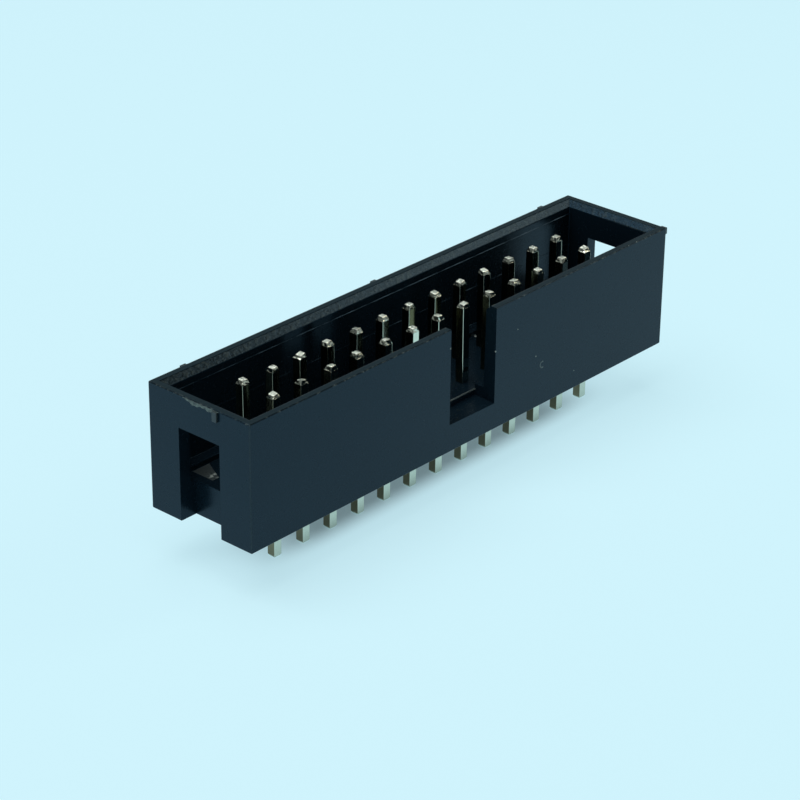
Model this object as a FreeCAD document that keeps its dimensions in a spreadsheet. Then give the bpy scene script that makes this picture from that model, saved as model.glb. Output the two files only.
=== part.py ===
import FreeCAD, Part
import os
import Sketcher

# Shrouded pin header for a ribbon cable plug: a one-piece moulded housing, open at the top,
# with two rows of square wire pins pressed through its floor.
# Millimetres. X runs along the rows, the wall with the key slot faces -Y, Z points up.
# The origin lies in the plane that seats on the circuit board, in the middle of the housing.

doc = FreeCAD.newDocument("header")


# Driving dimensions

sizes = doc.addObject("Spreadsheet::Sheet", "sizes")

DIMENSIONS = [
    ("pin_pitch", 2.54, "distance between pins along a row"),
    ("row_pitch", 2.54, "distance between rows"),
    ("pins_per_row", 13, "pins in each row"),
    ("pin_rows", 2, "rows of pins"),
    ("end_margin", 5.08, "last pin of a row to the outside of the end wall"),
    ("housing_width", 8.7, "outside width across the rows"),
    ("housing_height", 8.75, "seating plane to rim"),
    ("wall_thickness", 0.9, "all four walls of the shroud"),
    ("rim_flat", 0.5, "flat part of the rim, outside the lead-in chamfer"),
    ("corner_radius", 0.1, "upright outside corners"),
    ("edge_radius", 0.08, "outside edge of the rim"),
    ("foot_chamfer", 0.04, "outside edge of the underside"),
    ("floor_level", 2.4, "seating plane to the cavity floor"),
    ("ledge_rise", 0.38, "height of the ledges along both long walls, above the floor"),
    ("ledge_width", 0.8, "width of these ledges"),
    ("key_width", 4.45, "key slot, along the front wall"),
    ("key_level", 1.93, "seating plane to the bottom of the key slot"),
    ("window_width", 3.5, "opening in each end wall"),
    ("window_top", 6.47, "seating plane to the top of the end openings"),
    ("groove_depth", 1.3, "end groove below the window, measured from outside"),
    ("hole_gap", 0.01, "play between a pin's flat and its hole"),
    ("hole_lead", 0.15, "flare at the lower mouth of each pin hole"),
    ("lead_angle", 45, "slope of that flare, in degrees"),
    ("pin_side", 0.64, "square wire"),
    ("point_side", 0.45, "flat left at the mating end of a pin"),
    ("point_length", 0.31, "tapered part at the mating end of a pin"),
    ("foot_side", 0.54, "flat left at the solder end of a pin"),
    ("foot_length", 0.12, "tapered part at the solder end of a pin"),
    ("pin_top", 8.08, "seating plane to the mating end of a pin"),
    ("tail_length", 3.38, "seating plane to the solder end of a pin"),
    ("barb_reach", 0.07, "how far a barb stands out of the wire"),
    ("barb_width", 0.4, "barb, across the face that it stands on"),
    ("barb_level", 0.9, "seating plane to the low end of a barb"),
    ("barb_height", 0.9, "length of a barb along the pin"),
    ("back_stubs", 3, "moulding stubs on the back wall"),
    ("stub_spacing", 17.3, "distance between these stubs"),
    ("stub_offset", 0.1, "middle of their row, to the right of the middle of the wall"),
    ("stub_width", 0.45, "moulding stub, along the wall"),
    ("stub_height", 0.45, "moulding stub, down from the rim"),
    ("stub_reach", 0.22, "how far a moulding stub stands out of the wall"),
    ("end_stub_offset", 1.5, "stub on the left end wall, off the middle towards the front"),
    ("end_stub_width", 0.37, "this stub, along the wall"),
    ("end_stub_height", 0.65, "this stub, down from the rim"),
    ("end_stub_reach", 0.16, "how far this stub stands out of the wall"),
    ("corner_stub_inset", 0.33, "stub on the right end wall, in from the front wall"),
]

for number, (alias, value, meaning) in enumerate(DIMENSIONS, start=1):
    sizes.set("A%d" % number, meaning)
    sizes.set("B%d" % number, str(value))
    sizes.setAlias("B%d" % number, alias)
doc.recompute()

HALF_LENGTH = "((sizes.pins_per_row - 1) * sizes.pin_pitch / 2 + sizes.end_margin)"
HALF_WIDTH = "(sizes.housing_width / 2)"
INSIDE_LENGTH = "(%s - sizes.wall_thickness)" % HALF_LENGTH
INSIDE_WIDTH = "(%s - sizes.wall_thickness)" % HALF_WIDTH
FIRST_PIN_X = "(-(sizes.pins_per_row - 1) * sizes.pin_pitch / 2)"
FRONT_ROW_Y = "(-(sizes.pin_rows - 1) * sizes.row_pitch / 2)"
LEDGE_TOP = "(sizes.floor_level + sizes.ledge_rise)"
HALF_PIN = "(sizes.pin_side / 2)"
HALF_HOLE = "(sizes.pin_side / 2 + sizes.hole_gap)"
CLEAR_OF_RIM = "1"


# Sketches and features

def new_sketch(body, name, plane, height="0"):
    """An empty sketch on one of the body's own origin planes, raised along the plane's normal."""
    sketch = body.newObject("Sketcher::SketchObject", name)
    support = [item for item in body.Origin.OriginFeatures if item.Role == plane][0]
    sketch.AttachmentSupport = [(support, "")]
    sketch.MapMode = "FlatFace"
    sketch.setExpression("AttachmentOffset.Base.z", height)
    doc.recompute()
    return sketch


def outline(sketch, corners):
    """A closed polygon whose corners each hold a pair of expressions, measured from the origin."""
    points = []
    for along, across in corners:
        x = float(sketch.evalExpression(along))
        y = float(sketch.evalExpression(across))
        points.append(FreeCAD.Vector(x, y, 0))
    first = sketch.GeometryCount
    count = len(points)
    for index in range(count):
        line = Part.LineSegment(points[index], points[(index + 1) % count])
        sketch.addGeometry(line, False)
    for index in range(count):
        follower = first + (index + 1) % count
        sketch.addConstraint(Sketcher.Constraint("Coincident", first + index, 2, follower, 1))
    for index, (along, across) in enumerate(corners):
        spot = points[index]
        held_x = Sketcher.Constraint("DistanceX", -1, 1, first + index, 1, spot.x)
        held_y = Sketcher.Constraint("DistanceY", -1, 1, first + index, 1, spot.y)
        number_x = sketch.addConstraint(held_x)
        number_y = sketch.addConstraint(held_y)
        sketch.setExpression("Constraints[%d]" % number_x, along)
        sketch.setExpression("Constraints[%d]" % number_y, across)


def rectangle(sketch, left, right, low, high):
    outline(sketch, [(left, low), (right, low), (right, high), (left, high)])


def centred(sketch, half_along, half_across):
    """A rectangle about the sketch's origin."""
    rectangle(sketch, "-" + half_along, half_along, "-" + half_across, half_across)


def pad(body, name, sketch, length, upwards=True, midplane=False):
    feature = body.newObject("PartDesign::Pad", name)
    feature.Profile = sketch
    feature.setExpression("Length", length)
    feature.Reversed = not upwards
    feature.Midplane = midplane
    doc.recompute()
    return feature


def pocket(body, name, sketch, depth, towards_normal=False, midplane=False):
    """A cut that has to take material away, or the build stops."""
    before = body.Tip.Shape.Volume
    feature = body.newObject("PartDesign::Pocket", name)
    feature.Profile = sketch
    feature.setExpression("Length", depth)
    feature.Reversed = towards_normal
    feature.Midplane = midplane
    doc.recompute()
    if feature.Shape.isNull() or feature.Shape.Volume >= before:
        raise RuntimeError("%s takes nothing away" % name)
    return feature


def edges(shape, wanted):
    """Names of the shape's edges whose middle and direction pass the given test."""
    names = []
    for number, edge in enumerate(shape.Edges, start=1):
        middle = edge.CenterOfMass
        start = edge.valueAt(edge.FirstParameter)
        end = edge.valueAt(edge.LastParameter)
        if wanted(middle, end.sub(start)):
            names.append("Edge%d" % number)
    return names


def dress(body, kind, name, wanted, size_name, size):
    """A fillet or a chamfer on the edges that pass the test."""
    base = body.Tip
    feature = body.newObject(kind, name)
    feature.Base = (base, edges(base.Shape, wanted))
    feature.setExpression(size_name, size)
    doc.recompute()
    return feature


def number_of(expression):
    return float(sizes.evalExpression(expression))


# Housing: black moulded shroud

def on_outline(middle, length, width, slack):
    """True where a point lies on the four sides of a rectangle about the origin."""
    beside_end = abs(abs(middle.x) - length) < slack
    beside_wall = abs(abs(middle.y) - width) < slack
    return beside_end or beside_wall


def make_housing():
    body = doc.addObject("PartDesign::Body", "housing")
    body.Label = "housing"
    slack = 1e-4
    half_length = number_of(HALF_LENGTH)
    half_width = number_of(HALF_WIDTH)
    inside_length = number_of(INSIDE_LENGTH)
    inside_width = number_of(INSIDE_WIDTH)
    height = number_of("sizes.housing_height")
    radius = number_of("sizes.corner_radius")

    block = new_sketch(body, "block_outline", "XY_Plane")
    centred(block, HALF_LENGTH, HALF_WIDTH)
    pad(body, "block", block, "sizes.housing_height")

    def upright(middle, direction):
        return abs(direction.z) > slack

    dress(body, "PartDesign::Fillet", "corners", upright, "Radius", "sizes.corner_radius")

    def outside_at(level):
        def wanted(middle, direction):
            outside = on_outline(middle, half_length, half_width, radius)
            return outside and abs(middle.z - level) < slack

        return wanted

    dress(body, "PartDesign::Fillet", "rim_edge", outside_at(height), "Radius", "sizes.edge_radius")
    dress(body, "PartDesign::Chamfer", "foot_edge", outside_at(0), "Size", "sizes.foot_chamfer")

    # The cavity stops at the ledges, and a narrower trough between them goes on to the floor.
    mouth = new_sketch(body, "cavity_outline", "XY_Plane", "sizes.housing_height")
    centred(mouth, INSIDE_LENGTH, INSIDE_WIDTH)
    pocket(body, "cavity", mouth, "sizes.housing_height - %s" % LEDGE_TOP)
    trough = new_sketch(body, "floor_outline", "XY_Plane", LEDGE_TOP)
    centred(trough, INSIDE_LENGTH, "(%s - sizes.ledge_width)" % INSIDE_WIDTH)
    pocket(body, "trough", trough, "sizes.ledge_rise")

    def mouth_edge(middle, direction):
        at_wall = on_outline(middle, inside_length, inside_width, slack)
        return at_wall and abs(middle.z - height) < slack

    lead_in = "sizes.wall_thickness - sizes.rim_flat"
    dress(body, "PartDesign::Chamfer", "lead_in", mouth_edge, "Size", lead_in)

    # The key slot takes away the wall and the ledge behind it, down past the floor.
    slot = new_sketch(body, "key_outline", "XZ_Plane", HALF_WIDTH)
    half_key = "(sizes.key_width / 2)"
    above = "sizes.housing_height + %s" % CLEAR_OF_RIM
    rectangle(slot, "-" + half_key, half_key, "sizes.key_level", above)
    pocket(body, "key_slot", slot, "sizes.wall_thickness + sizes.ledge_width")

    # Each end wall has a window that goes on downwards as a groove to the underside.
    window = new_sketch(body, "window_outline", "YZ_Plane", HALF_LENGTH)
    half_window = "(sizes.window_width / 2)"
    rectangle(window, "-" + half_window, half_window, "0", "sizes.window_top")
    right_window = pocket(body, "right_window", window, "sizes.groove_depth")
    left_window = body.newObject("PartDesign::Mirrored", "left_window")
    left_window.Originals = [right_window]
    middle_plane = [item for item in body.Origin.OriginFeatures if item.Role == "YZ_Plane"][0]
    left_window.MirrorPlane = (middle_plane, [""])
    body.Tip = left_window
    doc.recompute()

    cut_pin_holes(body)
    add_stubs(body)
    return body


def cut_pin_holes(body):
    """One hole for each pin, with the barbs' shape in its sides and a flare below."""
    hole = new_sketch(body, "hole_outline", "XY_Plane", "sizes.floor_level")
    rectangle(
        hole,
        "%s - %s" % (FIRST_PIN_X, HALF_HOLE),
        "%s + %s" % (FIRST_PIN_X, HALF_HOLE),
        "%s - %s" % (FRONT_ROW_Y, HALF_HOLE),
        "%s + %s" % (FRONT_ROW_Y, HALF_HOLE),
    )
    shaft = pocket(body, "pin_hole", hole, "sizes.floor_level")

    bite = new_sketch(body, "bite_outline", "XZ_Plane", "-" + FRONT_ROW_Y)
    barb_outlines(bite, FIRST_PIN_X)
    grip = pocket(body, "barb_bite", bite, "sizes.barb_width", midplane=True)

    flare_side = "(%s + sizes.hole_lead * tan(sizes.lead_angle))" % HALF_HOLE
    mouth = new_sketch(body, "flare_outline", "XY_Plane")
    rectangle(
        mouth,
        "%s - %s" % (FIRST_PIN_X, flare_side),
        "%s + %s" % (FIRST_PIN_X, flare_side),
        "%s - %s" % (FRONT_ROW_Y, flare_side),
        "%s + %s" % (FRONT_ROW_Y, flare_side),
    )
    flare = pocket(body, "hole_flare", mouth, "sizes.hole_lead", towards_normal=True)
    flare.setExpression("TaperAngle", "-sizes.lead_angle")
    doc.recompute()

    before = body.Tip.Shape.Volume
    rows = body.newObject("PartDesign::LinearPattern", "pin_holes")
    rows.Originals = [shaft, grip, flare]
    axes = {item.Role: item for item in body.Origin.OriginFeatures}
    rows.Direction = (axes["X_Axis"], [""])
    rows.setExpression("Length", "(sizes.pins_per_row - 1) * sizes.pin_pitch")
    rows.setExpression("Occurrences", "sizes.pins_per_row")
    rows.Direction2 = (axes["Y_Axis"], [""])
    rows.setExpression("Length2", "(sizes.pin_rows - 1) * sizes.row_pitch")
    rows.setExpression("Occurrences2", "sizes.pin_rows")
    body.Tip = rows
    doc.recompute()
    if rows.Shape.Volume >= before:
        raise RuntimeError("the pattern of pin holes takes nothing away")


def barb_outlines(sketch, centre):
    """Two wedges, one on each side of a pin: a ramp below and a square shoulder above."""
    top = "sizes.barb_level + sizes.barb_height"
    for side in ("-", "+"):
        root = "%s %s %s" % (centre, side, HALF_PIN)
        tip = "%s %s (%s + sizes.barb_reach)" % (centre, side, HALF_PIN)
        outline(sketch, [(root, "sizes.barb_level"), (tip, top), (root, top)])


def add_stubs(body):
    """Small stubs that the mould left on the outside, just under the rim."""
    low = "sizes.housing_height - sizes.stub_height - sizes.edge_radius"
    high = "sizes.housing_height - sizes.edge_radius"
    half_stub = "sizes.stub_width / 2"
    half_row = "(sizes.back_stubs - 1) * sizes.stub_spacing / 2"

    back = new_sketch(body, "back_stub_outline", "XZ_Plane", "-" + HALF_WIDTH)
    first = "sizes.stub_offset - %s" % half_row
    rectangle(back, "%s - %s" % (first, half_stub), "%s + %s" % (first, half_stub), low, high)
    stub = pad(body, "back_stub", back, "sizes.stub_reach", upwards=False)
    axes = {item.Role: item for item in body.Origin.OriginFeatures}
    stubs = body.newObject("PartDesign::LinearPattern", "back_stubs")
    stubs.Originals = [stub]
    stubs.Direction = (axes["X_Axis"], [""])
    stubs.setExpression("Length", "(sizes.back_stubs - 1) * sizes.stub_spacing")
    stubs.setExpression("Occurrences", "sizes.back_stubs")
    body.Tip = stubs
    doc.recompute()

    end = new_sketch(body, "left_stub_outline", "YZ_Plane", "-" + HALF_LENGTH)
    front = "-sizes.end_stub_offset - sizes.end_stub_width / 2"
    rear = "-sizes.end_stub_offset + sizes.end_stub_width / 2"
    end_low = "sizes.housing_height - sizes.end_stub_height - sizes.edge_radius"
    rectangle(end, front, rear, end_low, high)
    pad(body, "left_stub", end, "sizes.end_stub_reach", upwards=False)

    corner = new_sketch(body, "right_stub_outline", "YZ_Plane", HALF_LENGTH)
    middle = "-%s + sizes.corner_stub_inset" % HALF_WIDTH
    rectangle(corner, "%s - %s" % (middle, half_stub), "%s + %s" % (middle, half_stub), low, high)
    pad(body, "right_stub", corner, "sizes.stub_reach")


# Pins: square wire, tapered at both ends, held in the floor by two small barbs

def make_pin(name, column, row):
    body = doc.addObject("PartDesign::Body", name)
    body.Label = name
    foot = "(sizes.foot_length - sizes.tail_length)"
    neck = "(sizes.pin_top - sizes.point_length)"

    wire = new_sketch(body, name + "_wire", "XY_Plane", foot)
    centred(wire, HALF_PIN, HALF_PIN)
    pad(body, name + "_shank", wire, "%s - %s" % (neck, foot))

    for end, height, upwards in (("point", neck, True), ("foot", foot, False)):
        base = new_sketch(body, "%s_%s_outline" % (name, end), "XY_Plane", height)
        centred(base, HALF_PIN, HALF_PIN)
        length = "sizes.%s_length" % end
        cone = pad(body, "%s_%s" % (name, end), base, length, upwards=upwards)
        taper = "atan((sizes.pin_side - sizes.%s_side) / 2 / %s)" % (end, length)
        cone.setExpression("TaperAngle", "-" + taper)

    wings = new_sketch(body, name + "_barb_outline", "XZ_Plane")
    barb_outlines(wings, "0")
    pad(body, name + "_barbs", wings, "sizes.barb_width", midplane=True)

    body.setExpression("Placement.Base.x", "%s + %d * sizes.pin_pitch" % (FIRST_PIN_X, column))
    body.setExpression("Placement.Base.y", "%s + %d * sizes.row_pitch" % (FRONT_ROW_Y, row))
    return body


pieces = [make_housing()]
pin_rows = int(number_of("sizes.pin_rows"))
for column in range(int(number_of("sizes.pins_per_row"))):
    for row in range(pin_rows):
        pieces.append(make_pin("pin_%02d" % (pin_rows * column + row + 1), column, row))
doc.recompute()


# Checks and output

for item in doc.Objects:
    if "Invalid" in item.State or "Error" in item.State:
        raise RuntimeError("%s has failed: %s" % (item.Name, item.State))
for piece in pieces:
    shape = piece.Shape
    if shape.isNull() or not shape.isValid() or len(shape.Solids) != 1:
        raise RuntimeError("%s is not one valid solid" % piece.Label)

os.makedirs("parts", exist_ok=True)
for piece in pieces:
    piece.Shape.exportStep("parts/%s.step" % piece.Label)
    print("%s %.3f mm3" % (piece.Label, piece.Shape.Volume))
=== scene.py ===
import math

import bmesh
import bpy
import numpy as np
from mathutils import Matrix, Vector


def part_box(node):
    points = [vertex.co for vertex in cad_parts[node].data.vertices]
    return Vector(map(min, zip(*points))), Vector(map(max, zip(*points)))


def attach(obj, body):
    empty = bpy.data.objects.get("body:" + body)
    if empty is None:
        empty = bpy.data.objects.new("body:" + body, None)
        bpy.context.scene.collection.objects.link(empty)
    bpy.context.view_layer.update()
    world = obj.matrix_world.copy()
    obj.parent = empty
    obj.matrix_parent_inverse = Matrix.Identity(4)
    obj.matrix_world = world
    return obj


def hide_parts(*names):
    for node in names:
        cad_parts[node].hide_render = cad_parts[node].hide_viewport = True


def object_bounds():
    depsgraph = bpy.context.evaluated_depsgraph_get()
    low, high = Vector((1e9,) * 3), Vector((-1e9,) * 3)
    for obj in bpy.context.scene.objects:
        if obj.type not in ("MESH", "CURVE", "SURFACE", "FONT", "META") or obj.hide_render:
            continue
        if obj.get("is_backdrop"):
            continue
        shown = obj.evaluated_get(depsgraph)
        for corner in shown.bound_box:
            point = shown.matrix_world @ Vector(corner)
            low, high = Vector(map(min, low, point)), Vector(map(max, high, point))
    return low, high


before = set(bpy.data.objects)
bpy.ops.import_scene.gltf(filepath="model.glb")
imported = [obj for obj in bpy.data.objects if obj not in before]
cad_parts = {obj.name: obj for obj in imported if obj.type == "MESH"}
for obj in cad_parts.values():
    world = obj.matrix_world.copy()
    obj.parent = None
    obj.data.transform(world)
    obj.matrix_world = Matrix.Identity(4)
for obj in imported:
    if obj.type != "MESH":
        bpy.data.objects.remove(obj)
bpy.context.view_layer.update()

# The housing: one injection moulding in black glass-filled polyester, open at the top. It stays the
# solid's own shape, with its long edges broken a few hundredths of a millimetre, as a mould leaves
# them. Everything else stands in it or on it.

MM = 0.001
HALF_LENGTH = 20.32
HALF_WIDTH = 4.35
WALL = 0.9
CHAMFER_DEPTH = 0.4
FLOOR_LEVEL = 2.4
LEDGE_WIDTH = 0.8
KEY_HALF = 2.225
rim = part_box("housing")[1][2] / MM


def linear(code):
    """An sRGB hex colour as linear red, green, blue and alpha."""
    parts = [int(code[place:place + 2], 16) / 255 for place in (1, 3, 5)]
    return tuple(c / 12.92 if c <= 0.04045 else ((c + 0.055) / 1.055) ** 2.4 for c in parts) + (1.0,)


def add(tree, kind, inputs=None, out=0, **settings):
    """Adds a node. Settings are its properties, and inputs its sockets' values or what feeds them.
    Gives the output socket that has the number or name."""
    made = tree.nodes.new("ShaderNode" + kind)
    for name, value in settings.items():
        setattr(made, name, value)
    for place, value in (inputs or {}).items():
        if isinstance(value, bpy.types.NodeSocket):
            tree.links.new(value, made.inputs[place])
        else:
            made.inputs[place].default_value = value
    return made.outputs[out] if made.outputs else None


def new_material(name):
    """An empty material, and its place on the object in millimetres."""
    material = bpy.data.materials.new(name)
    material.use_nodes = True
    tree = material.node_tree
    tree.nodes.clear()
    place = add(tree, "TexCoord", out="Object")
    return material, tree, add(tree, "VectorMath", {0: place, "Scale": 1 / MM}, operation="SCALE")


# Specks and nicks, each with its place and radius: on the front wall and on its top edge, and a painted
# glint on the floor of the cavity. Then a ring on the front wall, open to the right.
SPECKS_AND_GLINT = [(4.44, -HALF_WIDTH, rim - 2.26, 0.055), (6.42, -HALF_WIDTH, rim - 4.92, 0.06),
          (10.59, -HALF_WIDTH, rim - 7.44, 0.05), (-KEY_HALF, -HALF_WIDTH, rim - 1.3, 0.08),
          (KEY_HALF, -HALF_WIDTH, rim - 3.1, 0.08), (17.0, -HALF_WIDTH, rim, 0.07),
          (16.1, -HALF_WIDTH, rim, 0.06), (8.45, 2.5, FLOOR_LEVEL, 0.2)]
RING = (7.14, -HALF_WIDTH, rim - 5.76)
RING_RADIUS = 0.22
RING_HALF = 0.05

# The corner of the cavity's floor behind the left window, where the mould left it rough and sparkling. A
# painted patch of light lies on it, cut off by straight painted shadow edges.
LIT_ROUGH_CORNER = (-17.9, 1.2, FLOOR_LEVEL)
PATCH_SHADOW_X = -18.4
PATCH_FROM_Y = 0.9
PATCH_SHADOW_SLANT = 0.514

# The widths of the plastic's fine grain, of its mottle and of its clouds, and the grain's depth.
GRAIN = 0.12
MOTTLE = 0.3
CLOUD = 4.0
GRAIN_DEPTH = 0.0015


def moulded_polyester():
    """Black glass-filled polyester from eroded steel: a fine grain with some gloss, so that a face
    looks blue-black where it mirrors something pale, and quite black elsewhere. The blue in its
    near-black colour is a painted reflection of the pale cyan board. The lead-in chamfer is coarse,
    near black with grey speckles, and the level rim beside it is painted a little bluer, a painted
    sheen. Specks, stubs and the parting line are dull and paler. The vertical corners, the top edge
    of the step in the key slot and one glint on the cavity's floor are painted highlights, and a
    patch of the floor behind the left window is painted light on coarse, sparkling grain."""
    material, tree, in_mm = new_material("polyester_glass_filled_moulded")
    smooth = {"interpolation_type": "SMOOTHSTEP"}
    grain = add(tree, "TexNoise", {"Vector": in_mm, "Scale": 1 / GRAIN, "Detail": 3.0})
    mottle = add(tree, "TexNoise", {"Vector": in_mm, "Scale": 1 / MOTTLE, "Detail": 4.0, "Roughness": 0.7})
    cloud = add(tree, "TexNoise", {"Vector": in_mm, "Scale": 1 / CLOUD, "Detail": 3.0})
    x, y, z = (add(tree, "SeparateXYZ", {0: in_mm}, out=axis) for axis in "XYZ")
    facing = add(tree, "SeparateXYZ", {0: add(tree, "NewGeometry", out="Normal")}, out="Z")

    at_rim = add(tree, "MapRange", {0: z, 1: rim - CHAMFER_DEPTH - 0.04, 2: rim - CHAMFER_DEPTH}, **smooth)
    steep = add(tree, "MapRange", {0: facing, 1: 0.3, 2: 0.6}, **smooth)
    slanted = add(tree, "MapRange", {0: facing, 1: 0.95, 2: 0.85}, **smooth)
    level = add(tree, "MapRange", {0: facing, 1: 0.95, 2: 0.99}, **smooth)
    sloping = add(tree, "Math", {0: steep, 1: slanted}, operation="MULTIPLY")
    chamfer = add(tree, "Math", {0: sloping, 1: at_rim}, operation="MULTIPLY")
    # The level rim, for a painted sheen: it is coloured a little bluer below.
    level_rim_sheen = add(tree, "Math", {0: level, 1: at_rim}, operation="MULTIPLY")

    beyond = []
    for along, half in ((x, HALF_LENGTH), (y, HALF_WIDTH)):
        either_way = add(tree, "Math", {0: along}, operation="ABSOLUTE")
        beyond.append(add(tree, "Math", {0: either_way, 1: half}, operation="SUBTRACT"))
    outermost = add(tree, "Math", dict(enumerate(beyond)), operation="MAXIMUM")
    outer = add(tree, "MapRange", {0: outermost, 1: -0.12, 2: -0.03}, **smooth)
    topmost = add(tree, "MapRange", {0: z, 1: rim - 0.14, 2: rim - 0.05}, **smooth)
    ragged = add(tree, "MapRange", {0: mottle, 1: 0.5, 2: 0.8, 4: 0.25}, **smooth)
    parting = add(tree, "Math", {0: outer, 1: topmost}, operation="MULTIPLY")
    parting = add(tree, "Math", {0: parting, 1: ragged}, operation="MULTIPLY")
    stub = add(tree, "MapRange", {0: outermost, 1: 0.02, 2: 0.06, 4: 0.12}, **smooth)
    # Paler along the vertical corners: a painted highlight.
    at_corner = add(tree, "Math", dict(enumerate(beyond)), operation="MINIMUM")
    corner = add(tree, "MapRange", {0: at_corner, 1: -0.13, 2: -0.03, 4: 0.08}, **smooth)
    pale = [parting, stub, corner]

    for *place, radius in SPECKS_AND_GLINT:
        away = add(tree, "VectorMath", {0: in_mm, 1: place}, out="Value", operation="DISTANCE")
        pale.append(add(tree, "MapRange", {0: away, 1: radius, 2: radius * 0.5}, **smooth))
    away = add(tree, "VectorMath", {0: in_mm, 1: RING}, out="Value", operation="DISTANCE")
    from_ring = add(tree, "Math", {0: away, 1: RING_RADIUS, 2: RING_HALF}, operation="COMPARE")
    closed = add(tree, "MapRange", {0: x, 1: RING[0] + 0.15, 2: RING[0] + 0.05, 4: 0.25}, **smooth)
    pale.append(add(tree, "Math", {0: from_ring, 1: closed}, operation="MULTIPLY"))

    # A paler line along the top edge of the step in the key slot: a painted highlight.
    step_place = (0.0, LEDGE_WIDTH + WALL - HALF_WIDTH, FLOOR_LEVEL)
    from_step = add(tree, "VectorMath", {0: in_mm, 1: step_place}, operation="SUBTRACT")
    across_step = add(tree, "VectorMath", {0: from_step, 1: (0.0, 1.0, 1.0)}, operation="MULTIPLY")
    from_edge = add(tree, "VectorMath", {0: across_step}, out="Value", operation="LENGTH")
    step_edge_highlight = add(tree, "MapRange", {0: from_edge, 1: 0.09, 2: 0.05, 4: 0.4}, **smooth)
    in_key = add(tree, "Math", {0: x, 1: 0.0, 2: KEY_HALF}, operation="COMPARE")
    pale.append(add(tree, "Math", {0: step_edge_highlight, 1: in_key}, operation="MULTIPLY"))

    # Behind the left window: a painted patch of light on the floor, cut off by straight painted shadow
    # edges, with rough, sparkling grain near its corner.
    away = add(tree, "VectorMath", {0: in_mm, 1: LIT_ROUGH_CORNER}, out="Value", operation="DISTANCE")
    close = add(tree, "MapRange", {0: away, 1: 0.6, 2: 0.15}, **smooth)
    sparkling = add(tree, "MapRange", {0: mottle, 1: 0.5, 2: 0.58}, **smooth)
    lit_rough_patch = add(tree, "Math", {0: close, 1: sparkling, 2: 0.12}, operation="MULTIPLY_ADD")
    shear = add(tree, "Math", {0: y, 1: -PATCH_SHADOW_SLANT, 2: x}, operation="MULTIPLY_ADD")
    for value, low, high in ((x, PATCH_SHADOW_X - 0.05, PATCH_SHADOW_X),
                             (y, PATCH_FROM_Y - 0.08, PATCH_FROM_Y),
                             (shear, PATCH_SHADOW_X + 0.1, PATCH_SHADOW_X + 0.04),
                             (z, FLOOR_LEVEL + 0.06, FLOOR_LEVEL + 0.02),
                             (facing, 0.85, 0.95)):
        inside = add(tree, "MapRange", {0: value, 1: low, 2: high}, **smooth)
        lit_rough_patch = add(tree, "Math", {0: lit_rough_patch, 1: inside}, operation="MULTIPLY")
    pale.append(lit_rough_patch)

    # One share for all the pale marks: real specks, stubs, parting line and ring, and the painted
    # highlights, glint and patch of light.
    marks_and_painted_light = pale[0]
    for share in pale[1:]:
        marks_and_painted_light = add(tree, "Math", {0: marks_and_painted_light, 1: share}, operation="MAXIMUM")
    # The blue in these near-black colours is a painted reflection of the pale cyan board; the cloud varies
    # their tone at random.
    colour = add(tree, "Mix", {"Factor": cloud, "A": linear("#0A161E"), "B": linear("#0D1B24")}, "Result",
                 data_type="RGBA")
    speckled = add(tree, "MapRange", {0: mottle, 1: 0.5, 2: 0.62}, **smooth)
    speckled = add(tree, "Math", {0: speckled, 1: chamfer}, operation="MULTIPLY")
    # Colours over the base: the chamfer and its speckles, the level rim's bluer painted sheen, and the pale
    # of the marks and of the painted light.
    for share, code in ((chamfer, "#0F1312"), (speckled, "#2B302C"),
                        (level_rim_sheen, "#16252A"), (marks_and_painted_light, "#98A29C")):
        colour = add(tree, "Mix", {"Factor": share, "A": colour, "B": linear(code)}, "Result",
                     data_type="RGBA")
    gloss = add(tree, "MapRange", {0: mottle, 1: 0.3, 2: 0.7, 3: 0.22, 4: 0.28}, **smooth)
    for share, extra in ((chamfer, -0.03), (level_rim_sheen, 0.1), (marks_and_painted_light, 0.4)):
        gloss = add(tree, "Math", {0: share, 1: extra, 2: gloss}, operation="MULTIPLY_ADD")
    coarse = add(tree, "Math", {0: chamfer, 1: lit_rough_patch}, operation="MAXIMUM")
    relief = add(tree, "Mix", {"Factor": coarse, "A": grain, "B": mottle})
    depth = GRAIN_DEPTH * MM
    for share, extra in ((chamfer, 0.022), (lit_rough_patch, 0.1)):
        depth = add(tree, "Math", {0: share, 1: extra * MM, 2: depth}, operation="MULTIPLY_ADD")
    bump = add(tree, "Bump", {"Height": relief, "Distance": depth, "Strength": 1.0})
    shader = add(tree, "BsdfPrincipled",
                 {"Base Color": colour, "Roughness": gloss, "IOR": 1.57, "Specular IOR Level": 0.2,
                  "Specular Tint": linear("#7CCBFF"), "Normal": bump})
    add(tree, "OutputMaterial", {0: shader})
    return material


def mesh_piece(name, points, faces, material, smooth=True):
    """An object made of points in millimetres and their faces, at the origin."""
    mesh = bpy.data.meshes.new(name)
    mesh.from_pydata((np.asarray(points) * MM).tolist(), [], [list(map(int, face)) for face in faces])
    mesh.validate()
    mesh.polygons.foreach_set("use_smooth", [smooth] * len(mesh.polygons))
    mesh.materials.append(material)
    piece = bpy.data.objects.new(name, mesh)
    bpy.context.scene.collection.objects.link(piece)
    return piece


EDGE_BREAK = 0.04
LONG_EDGE = 1.0
SHORT_EDGE = 0.3
SHARP_EDGE = math.radians(30)
SMOOTH_EDGE = math.radians(35)
LEVEL_WITHIN = math.radians(0.3)
MERGE_WITHIN = 0.0005
FOOT = 0.06
polyester = moulded_polyester()


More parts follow.
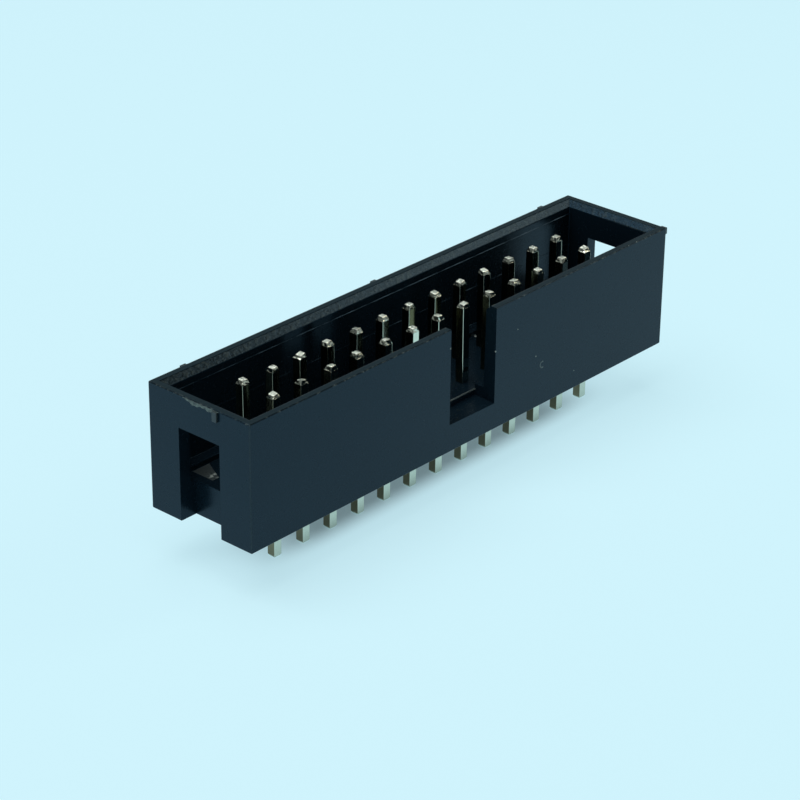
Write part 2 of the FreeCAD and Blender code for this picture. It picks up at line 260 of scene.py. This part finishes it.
def break_edges(name, node):
    """A copy of a solid whose long sharp edges above the foot are rounded off by EDGE_BREAK. An edge that
    meets a short one, as at a stub, stays as it is."""
    solid = bmesh.new()
    solid.from_mesh(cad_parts[node].data)
    bmesh.ops.remove_doubles(solid, verts=solid.verts, dist=MERGE_WITHIN * MM)
    bmesh.ops.dissolve_limit(solid, angle_limit=LEVEL_WITHIN, verts=solid.verts, edges=solid.edges)
    weight = solid.edges.layers.float.new("bevel_weight_edge")
    short = [edge for edge in solid.edges if edge.calc_length() < SHORT_EDGE * MM]
    beside_short = {vert for edge in short for vert in edge.verts}
    for edge in solid.edges:
        above = min(vert.co.z for vert in edge.verts) > FOOT * MM
        sharp = edge.is_manifold and edge.calc_face_angle() > SHARP_EDGE
        plain = beside_short.isdisjoint(edge.verts)
        edge[weight] = float(above and sharp and plain and edge.calc_length() > LONG_EDGE * MM)
    mesh = bpy.data.meshes.new(name)
    solid.to_mesh(mesh)
    solid.free()
    if mesh.has_custom_normals:
        mesh.attributes.remove(mesh.attributes["custom_normal"])
    mesh.materials.clear()
    mesh.materials.append(polyester)
    piece = bpy.data.objects.new(name, mesh)
    bpy.context.scene.collection.objects.link(piece)
    rounding = piece.modifiers.new("edge_break", "BEVEL")
    rounding.width = EDGE_BREAK * MM
    rounding.segments = 3
    rounding.limit_method = "WEIGHT"
    rounding.use_clamp_overlap = False
    flat_faces = piece.modifiers.new("flat_faces", "WEIGHTED_NORMAL")
    flat_faces.weight = 100
    flat_faces.keep_sharp = True
    mesh.polygons.foreach_set("use_smooth", [True] * len(mesh.polygons))
    mesh.set_sharp_from_angle(angle=SMOOTH_EDGE)
    return piece


housing = break_edges("housing_moulding", "housing")
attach(housing, "root")
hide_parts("housing")


# Two witness lines on the inside of the back wall, where the blocks of the mould's core met: low
# ridges of the housing's own plastic, along the whole wall. The upper one is the stronger.

INNER_LENGTH = HALF_LENGTH - WALL
INNER_WIDTH = HALF_WIDTH - WALL
SUNK = 0.02


def profile_along(name, rows, material):
    """A closed bar: rows of points, one for each corner of its profile, joined round and at the ends."""
    points = np.stack(rows, axis=1)
    stations, corners = points.shape[:2]
    here = np.arange(stations * corners).reshape(stations, corners)
    after = np.roll(here, -1, axis=1)
    sides = np.stack([here[:-1], here[1:], after[1:], after[:-1]], axis=2).reshape(-1, 4)
    faces = sides.tolist() + [here[0].tolist(), here[-1][::-1].tolist()]
    return mesh_piece(name, points.reshape(-1, 3), faces, material, smooth=False)


def witness_line(name, level, half_height, reach):
    """A ridge along the back wall whose profile is a triangle. Its height and reach vary a little with
    the distance along the wall, as a sum of two sines."""
    along = np.linspace(-INNER_LENGTH - SUNK, INNER_LENGTH + SUNK, 240)
    waver = 1 + 0.18 * np.sin(along * 1.7 + level) + 0.12 * np.sin(along * 5.3)
    wall = np.full_like(along, INNER_WIDTH + SUNK)
    ridge = np.full_like(along, level)
    rows = [np.stack([along, wall, level - half_height * waver], axis=1),
            np.stack([along, INNER_WIDTH - reach * waver, ridge], axis=1),
            np.stack([along, wall, level + half_height * waver], axis=1)]
    return profile_along(name, rows, polyester)


for name, below, half_height, reach in (("witness_line_upper", 0.9, 0.045, 0.03),
                                        ("witness_line_lower", 3.2, 0.03, 0.02)):
    line = witness_line(name, rim - below, half_height, reach)
    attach(line, "root")


# A sliver of flash that hangs from the parting line on the left end wall, behind the stub: plastic
# that crept between the mould's halves and tore off, a few hundredths of a millimetre thick.

FLASH_FROM = -1.75
FLASH_TO = 1.3
FLASH_TOP = rim - 0.05
FLASH_THICK = 0.012
FLASH_LIFT = 0.02


def torn_polyester():
    """The same polyester where it tore: dull and paler, since glass fibres stand out of it."""
    material, tree, in_mm = new_material("polyester_torn_flash")
    fibre = add(tree, "TexNoise", {"Vector": in_mm, "Scale": 1 / GRAIN, "Detail": 4.0, "Roughness": 0.8})
    share = add(tree, "MapRange", {0: fibre, 1: 0.36, 2: 0.62}, interpolation_type="SMOOTHSTEP")
    colour = add(tree, "Mix", {"Factor": share, "A": linear("#1C2E33"), "B": linear("#5E6E6C")}, "Result",
                 data_type="RGBA")
    bump = add(tree, "Bump", {"Height": fibre, "Distance": 0.02 * MM, "Strength": 1.0})
    shader = add(tree, "BsdfPrincipled",
                 {"Base Color": colour, "Roughness": 0.6, "IOR": 1.57, "Specular IOR Level": 0.35,
                  "Normal": bump})
    add(tree, "OutputMaterial", {0: shader})
    return material


def flash_sliver(name):
    """A thin bar on the wall from the rim's edge down. Its depth is a sum of sines along the wall that
    dies away at both ends, and its lower edge stands out a little from the wall."""
    along = np.linspace(FLASH_FROM, FLASH_TO, 60)
    fade = np.sin(math.pi * (along - FLASH_FROM) / (FLASH_TO - FLASH_FROM)) ** 0.5
    depth = (0.22 + 0.07 * np.sin(along * 4.3) + 0.03 * np.sin(along * 13.7 + 1.0)
             + 0.012 * np.sin(along * 31.0))
    inside = np.full_like(along, -HALF_LENGTH + SUNK)
    face = np.full_like(along, -HALF_LENGTH - FLASH_THICK)
    outside = face - FLASH_LIFT * fade
    top = np.full_like(along, FLASH_TOP)
    bottom = top - np.maximum(depth * fade, SUNK)
    corners = ((inside, top), (face, top), (outside, bottom), (inside, bottom))
    rows = [np.stack([across, along, level], axis=1) for across, level in corners]
    return profile_along(name, rows, torn_polyester())


flash = flash_sliver("flash_left")
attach(flash, "root")


# The pins: square drawn brass wire, coined to a blunt point at the top and just nipped at the foot,
# then plated with bright tin. Two barbs inside the floor hold each one. Each stands a little out of
# true, as pressed-in pins do, and no two points were coined quite alike.

PINS = 26
PIN_HALF = 0.32
POINT_HALF = 0.225
POINT_LENGTH = 0.31
FOOT_HALF = 0.27
FOOT_LENGTH = 0.12
END_EDGE = 0.045
WIRE_RADIUS = 0.055
POINT_RADIUS = 0.04
HOLD = 0.01
BARB_LOW = 0.9
BARB_TOP = 1.8
BARB_REACH = 0.07
BARB_HALF = 0.2

# How far the pins stand out of true: the usual lean for each millimetre of height, of which a tail
# takes a part, the usual twist, and the usual tilt and shift of a point, with the most it may shift.
LEAN = 0.006
TAIL_SHARE = 0.6
TWIST = math.radians(1.5)
TILT = 0.09
SHIFT = 0.025
MOST_SHIFT = 0.05
SEED = 26
pin_low, pin_high = (np.array(corner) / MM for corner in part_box("pin_01"))


def bright_tin():
    """Bright tin on drawn brass: a pale, slightly warm silver that mirrors on its flats, with fine
    lines along the wire. The coined slopes mirror too, but uneven. The sheared tops are crystalline
    and sparkle. The two faces that look along the row are painted brown, less on the points: painted
    shade for the shadowed board that they mirror."""
    material, tree, in_mm = new_material("tin_bright_plated_on_drawn_brass")
    smooth = {"interpolation_type": "SMOOTHSTEP"}
    along = add(tree, "VectorMath", {0: in_mm, 1: (1.0, 1.0, 0.04)}, operation="MULTIPLY")
    drawn = add(tree, "TexNoise", {"Vector": along, "Scale": 1 / 0.05, "Detail": 2.0})
    crystal = add(tree, "TexNoise", {"Vector": in_mm, "Scale": 1 / 0.13, "Detail": 2.0, "Roughness": 0.6})
    dent = add(tree, "TexNoise", {"Vector": in_mm, "Scale": 1 / 0.36, "Detail": 1.0})
    z = add(tree, "SeparateXYZ", {0: in_mm}, out="Z")
    normal = add(tree, "NewGeometry", out="Normal")
    sideways, upright = (add(tree, "Math", {0: add(tree, "SeparateXYZ", {0: normal}, out=axis)},
                             operation="ABSOLUTE") for axis in "XZ")
    shoulder = pin_high[2] - POINT_LENGTH
    ankle = pin_low[2] + FOOT_LENGTH
    upper = add(tree, "MapRange", {0: z, 1: shoulder - 0.02, 2: shoulder + 0.03}, **smooth)
    lower = add(tree, "MapRange", {0: z, 1: ankle + 0.02, 2: ankle - 0.03}, **smooth)
    coined = add(tree, "Math", {0: upper, 1: lower}, operation="MAXIMUM")
    square = add(tree, "MapRange", {0: upright, 1: 0.55, 2: 0.9}, **smooth)
    sheared = add(tree, "Math", {0: coined, 1: square}, operation="MULTIPLY")
    # The faces that look along the row are painted brown, less on the points: painted shade for the
    # shadowed board that they mirror.
    side_facing = add(tree, "MapRange", {0: sideways, 1: 0.8, 2: 0.95, 4: 0.9}, **smooth)
    less_on_points = add(tree, "Math", {0: coined, 1: -0.6, 2: 1.0}, operation="MULTIPLY_ADD")
    side_shade = add(tree, "Math", {0: side_facing, 1: less_on_points}, operation="MULTIPLY")
    colour = add(tree, "Mix", {"Factor": crystal, "A": linear("#DCE0CF"), "B": linear("#C5CABC")}, "Result",
                 data_type="RGBA")
    for share, code in ((side_shade, "#6E654C"), (sheared, "#F0F8EA")):
        colour = add(tree, "Mix", {"Factor": share, "A": colour, "B": linear(code)}, "Result",
                     data_type="RGBA")
    gloss = add(tree, "MapRange", {0: drawn, 1: 0.3, 2: 0.7, 3: 0.05, 4: 0.1}, **smooth)
    for share, extra in ((coined, 0.05), (sheared, 0.2), (side_shade, 0.1)):
        gloss = add(tree, "Math", {0: share, 1: extra, 2: gloss}, operation="MULTIPLY_ADD")
    relief = add(tree, "Mix", {"Factor": coined, "A": drawn, "B": dent})
    relief = add(tree, "Mix", {"Factor": sheared, "A": relief, "B": crystal})
    depth = add(tree, "Math", {0: coined, 1: 0.12 * MM, 2: 0.0008 * MM}, operation="MULTIPLY_ADD")
    bump = add(tree, "Bump", {"Height": relief, "Distance": depth, "Strength": 1.0})
    shader = add(tree, "BsdfPrincipled",
                 {"Base Color": colour, "Metallic": 1.0, "Roughness": gloss, "Normal": bump})
    add(tree, "OutputMaterial", {0: shader})
    return material


def square_section(corner_steps=5):
    """A square of half side 1 with round corners, as unit corner signs and unit offsets: each point is
    the corner's centre, which is half the side less the radius along both signs, plus the radius
    times the offset. Points just inside each flat keep it flat where the corners are smoothed."""
    signs, offsets, slides = [], [], []
    for quarter in range(4):
        start = quarter * math.pi / 2
        angles = np.linspace(start, start + math.pi / 2, corner_steps)
        corner = (1 if quarter in (0, 3) else -1, 1 if quarter in (0, 1) else -1)
        before = (math.sin(start), -math.cos(start))
        beyond = (-math.cos(start), -math.sin(start))
        for angle, slide in [(angles[0], before)] + [(a, (0, 0)) for a in angles] + [(angles[-1], beyond)]:
            signs.append(corner)
            offsets.append((math.cos(angle), math.sin(angle)))
            slides.append(slide)
    return np.array(signs, float), np.array(offsets), np.array(slides, float)


def end_rings(end, inward, flat_half, length):
    """Rings of one tapered end from its flat inwards: level, half side, corner radius, and how much of
    the point's own tilt and shift each takes. The first four round off the edge of the flat."""
    slope = PIN_HALF - flat_half
    edge = END_EDGE
    return [
        (end, flat_half - edge, POINT_RADIUS, 1.0),
        (end + inward * edge * 0.12, flat_half - edge * 0.6, POINT_RADIUS, 1.0),
        (end + inward * edge * 0.4, flat_half - edge * 0.25, POINT_RADIUS, 1.0),
        (end + inward * edge, flat_half, POINT_RADIUS, 1.0),
        (end + inward * (edge + HOLD), flat_half + slope * HOLD / length, POINT_RADIUS, 1.0),
        (end + inward * (length - HOLD), PIN_HALF - slope * HOLD / length, WIRE_RADIUS, 0.05),
        (end + inward * length, PIN_HALF, WIRE_RADIUS, 0.0),
        (end + inward * (length + HOLD), PIN_HALF, WIRE_RADIUS, 0.0),
    ]


def pin_rings():
    """Rings up the whole pin, from its foot to its point."""
    middle = [(level, PIN_HALF, WIRE_RADIUS, 0.0) for level in (-1.0, 0.0, 1.2, FLOOR_LEVEL, 4.0, 5.5, 6.8)]
    top = end_rings(pin_high[2], -1, POINT_HALF, POINT_LENGTH)[::-1]
    return np.array(end_rings(pin_low[2], 1, FOOT_HALF, FOOT_LENGTH) + middle + top)


def barb_wedges(centre):
    """Two wedges on the sides of a pin: a ramp that rises to a square shoulder, sunk a little into it."""
    points, faces = [], []
    for side in (-1, 1):
        root = centre[0] + side * (PIN_HALF - SUNK)
        tip = centre[0] + side * (PIN_HALF + BARB_REACH)
        first = len(points)
        for y in (centre[1] - BARB_HALF, centre[1] + BARB_HALF):
            points += [(root, y, BARB_LOW), (tip, y, BARB_TOP), (root, y, BARB_TOP)]
        a, b, c, d, e, f = range(first, first + 6)
        turns = [(a, b, c), (d, f, e), (a, d, e, b), (b, e, f, c), (c, f, d, a)]
        faces += [turn if side > 0 else turn[::-1] for turn in turns]
    return np.array(points), faces


def plated_pin(name, centre, lean, twist, tilt, shift, material):
    """Rings of the rounded square up the pin. Above the floor and below the seat they are turned by the
    twist and moved by the lean, in proportion to the distance from the floor or the seat. At the
    point they also take its tilt, downwards from its highest corner, and its shift."""
    signs, offsets, slides = square_section()
    level, half, radius, own = (column[:, None] for column in pin_rings().T)
    x = signs[:, 0] * (half - radius) + offsets[:, 0] * radius + slides[:, 0] * HOLD
    y = signs[:, 1] * (half - radius) + offsets[:, 1] * radius + slides[:, 1] * HOLD
    own = np.where(level > 0, own, 0.0)
    z = level + own * (x * tilt[0] + y * tilt[1] - POINT_HALF * np.abs(tilt).sum())
    free = np.where(level > FLOOR_LEVEL, level - FLOOR_LEVEL, np.minimum(level, 0) * TAIL_SHARE)
    turn = twist * np.clip(free, -1, 1)
    turned_x = x * np.cos(turn) - y * np.sin(turn) + centre[0] + lean[0] * free + shift[0] * own
    turned_y = x * np.sin(turn) + y * np.cos(turn) + centre[1] + lean[1] * free + shift[1] * own
    points = np.stack([turned_x, turned_y, z], axis=2).reshape(-1, 3)
    ring_count, around = x.shape
    here = np.arange(ring_count * around).reshape(ring_count, around)
    after = np.roll(here, -1, axis=1)
    sides = np.stack([here[:-1], after[:-1], after[1:], here[1:]], axis=2).reshape(-1, 4)
    faces = sides.tolist() + [here[0][::-1].tolist(), here[-1].tolist()]
    wedge_points, wedge_faces = barb_wedges(centre)
    faces += [[len(points) + corner for corner in face] for face in wedge_faces]
    return mesh_piece(name, np.concatenate([points, wedge_points]), faces, material)


tin = bright_tin()
draws = np.random.default_rng(SEED)
for number in range(1, PINS + 1):
    node = "pin_%02d" % number
    low, high = (np.array(corner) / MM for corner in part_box(node))
    lean = draws.normal(0, LEAN, 2)
    twist = draws.normal(0, TWIST)
    tilt = draws.normal(0, TILT, 2)
    shift = np.clip(draws.normal(0, SHIFT, 2), -MOST_SHIFT, MOST_SHIFT)
    pin = plated_pin("plated_pin_%02d" % number, (low + high) / 2, lean, twist, tilt, shift, tin)
    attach(pin, "root")
    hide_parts(node)


# The table and the light: a plain pale floor under the feet of the pins, with a painted shadow
# under the housing, a wide soft light above, a little behind and to the left, and a small one low on
# the right, in front. The room glows softly near the horizon and is dim above that, so that the rim
# stays black.

FLOOR_METRES = 3.0
GLOW_SHARE = 0.78
PAINTED_SHADOW_SHARE = 0.85


def pale_floor():
    """Pale cyan matt board. Much of what the camera or a reflection sees of it is the board's own
    colour at full strength, cut back under the housing as a painted shadow. The rest takes light and
    shadow."""
    material, tree, in_mm = new_material("board_matt_pale_cyan")
    direct = add(tree, "LightPath", out="Is Camera Ray")
    for ray in ("Is Glossy Ray", "Is Transmission Ray"):
        direct = add(tree, "Math", {0: direct, 1: add(tree, "LightPath", out=ray)}, operation="MAXIMUM")
    share = add(tree, "Math", {0: direct, 1: GLOW_SHARE}, operation="MULTIPLY")
    # A painted shadow: the share of the board's own colour falls off under the housing.
    painted_shadow = share
    for axis, edge, core in (("X", HALF_LENGTH - 2.0, HALF_LENGTH - 10.0),
                             ("Y", HALF_WIDTH - 1.2, HALF_WIDTH - 3.6)):
        along = add(tree, "Math", {0: add(tree, "SeparateXYZ", {0: in_mm}, out=axis)}, operation="ABSOLUTE")
        under = add(tree, "MapRange", {0: along, 1: edge, 2: core, 4: PAINTED_SHADOW_SHARE},
                    interpolation_type="SMOOTHSTEP")
        painted_shadow = add(tree, "Math", {0: painted_shadow, 1: under}, operation="MULTIPLY")
    share = add(tree, "Math", {0: share, 1: painted_shadow}, operation="SUBTRACT")
    lit = add(tree, "BsdfPrincipled",
              {"Base Color": linear("#DCF8FC"), "Roughness": 0.9, "Specular IOR Level": 0.1})
    own = add(tree, "Emission", {"Color": linear("#CEF4FF"), "Strength": 1.0})
    add(tree, "OutputMaterial", {0: add(tree, "MixShader", {0: share, 1: lit, 2: own})})
    return material


half_floor = FLOOR_METRES / 2 / MM
corners = [(x, y, pin_low[2]) for x, y in ((-half_floor, -half_floor), (half_floor, -half_floor),
                                           (half_floor, half_floor), (-half_floor, half_floor))]
floor = mesh_piece("table_floor", corners, [(0, 1, 2, 3)], pale_floor(), smooth=False)
floor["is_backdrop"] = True

world = bpy.data.worlds.new("dim_room")
bpy.context.scene.world = world
world.use_nodes = True
sky = world.node_tree
background = sky.nodes["Background"]
background.inputs["Color"].default_value = linear("#E8F4F8")
upwards = add(sky, "SeparateXYZ", {0: add(sky, "TexCoord", out="Generated")}, out="Z")
glow = add(sky, "MapRange", {0: upwards, 1: 0.1, 2: 0.36, 3: 0.7, 4: 0.1},
           interpolation_type="SMOOTHSTEP")
sky.links.new(glow, background.inputs["Strength"])


def soft_light(name, place, size, watts, code):
    """A square area light at a place in metres, which faces the housing."""
    lamp = bpy.data.lights.new(name, "AREA")
    lamp.shape = "SQUARE"
    lamp.size = size
    lamp.energy = watts
    lamp.color = linear(code)[:3]
    holder = bpy.data.objects.new(name, lamp)
    bpy.context.scene.collection.objects.link(holder)
    holder.location = place
    holder.rotation_euler = (-Vector(place)).to_track_quat("-Z", "Y").to_euler()


soft_light("overhead_light", (-0.12, 0.08, 0.5), 0.5, 2.8, "#FFFFFF")
soft_light("right_light", (0.105, -0.06, 0.085), 0.05, 0.032, "#FFF6E4")


# The camera stands in front, to the left of the key slot, and looks down on the housing, as in the
# photograph. Its place and its lens are fitted to the pins' tips, their tails and the straight edges.
# Lengths here are in millimetres too, apart from the clipping distances, which are in metres.

AZIMUTH = math.radians(-48.302)
ELEVATION = math.radians(26.671)
ROLL = math.radians(0.597)
DISTANCE = 179.03
AIM_LEVEL = 2.33
AIM_RIGHT = -1.448
AIM_UP = -0.766
LENS = 122.48

backward = np.array([math.sin(AZIMUTH) * math.cos(ELEVATION), -math.cos(AZIMUTH) * math.cos(ELEVATION),
                     math.sin(ELEVATION)])
level_right = np.cross(-backward, [0, 0, 1])
level_right /= np.linalg.norm(level_right)
level_up = np.cross(backward, level_right)
right = math.cos(ROLL) * level_right + math.sin(ROLL) * level_up
up = math.cos(ROLL) * level_up - math.sin(ROLL) * level_right
eye = np.array([0, 0, AIM_LEVEL]) + backward * DISTANCE + right * AIM_RIGHT + up * AIM_UP

lens = bpy.data.cameras.new("photo_camera")
lens.lens = LENS
lens.sensor_width = 36.0
lens.sensor_fit = "HORIZONTAL"
lens.clip_start = 0.01
lens.clip_end = 10.0
camera = bpy.data.objects.new("photo_camera", lens)
bpy.context.scene.collection.objects.link(camera)
turned = np.eye(4)
turned[:3, 0], turned[:3, 1], turned[:3, 2], turned[:3, 3] = right, up, backward, eye * MM
camera.matrix_world = Matrix(turned.tolist())
bpy.context.scene.camera = camera
bpy.context.scene.view_settings.view_transform = "Standard"

low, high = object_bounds()
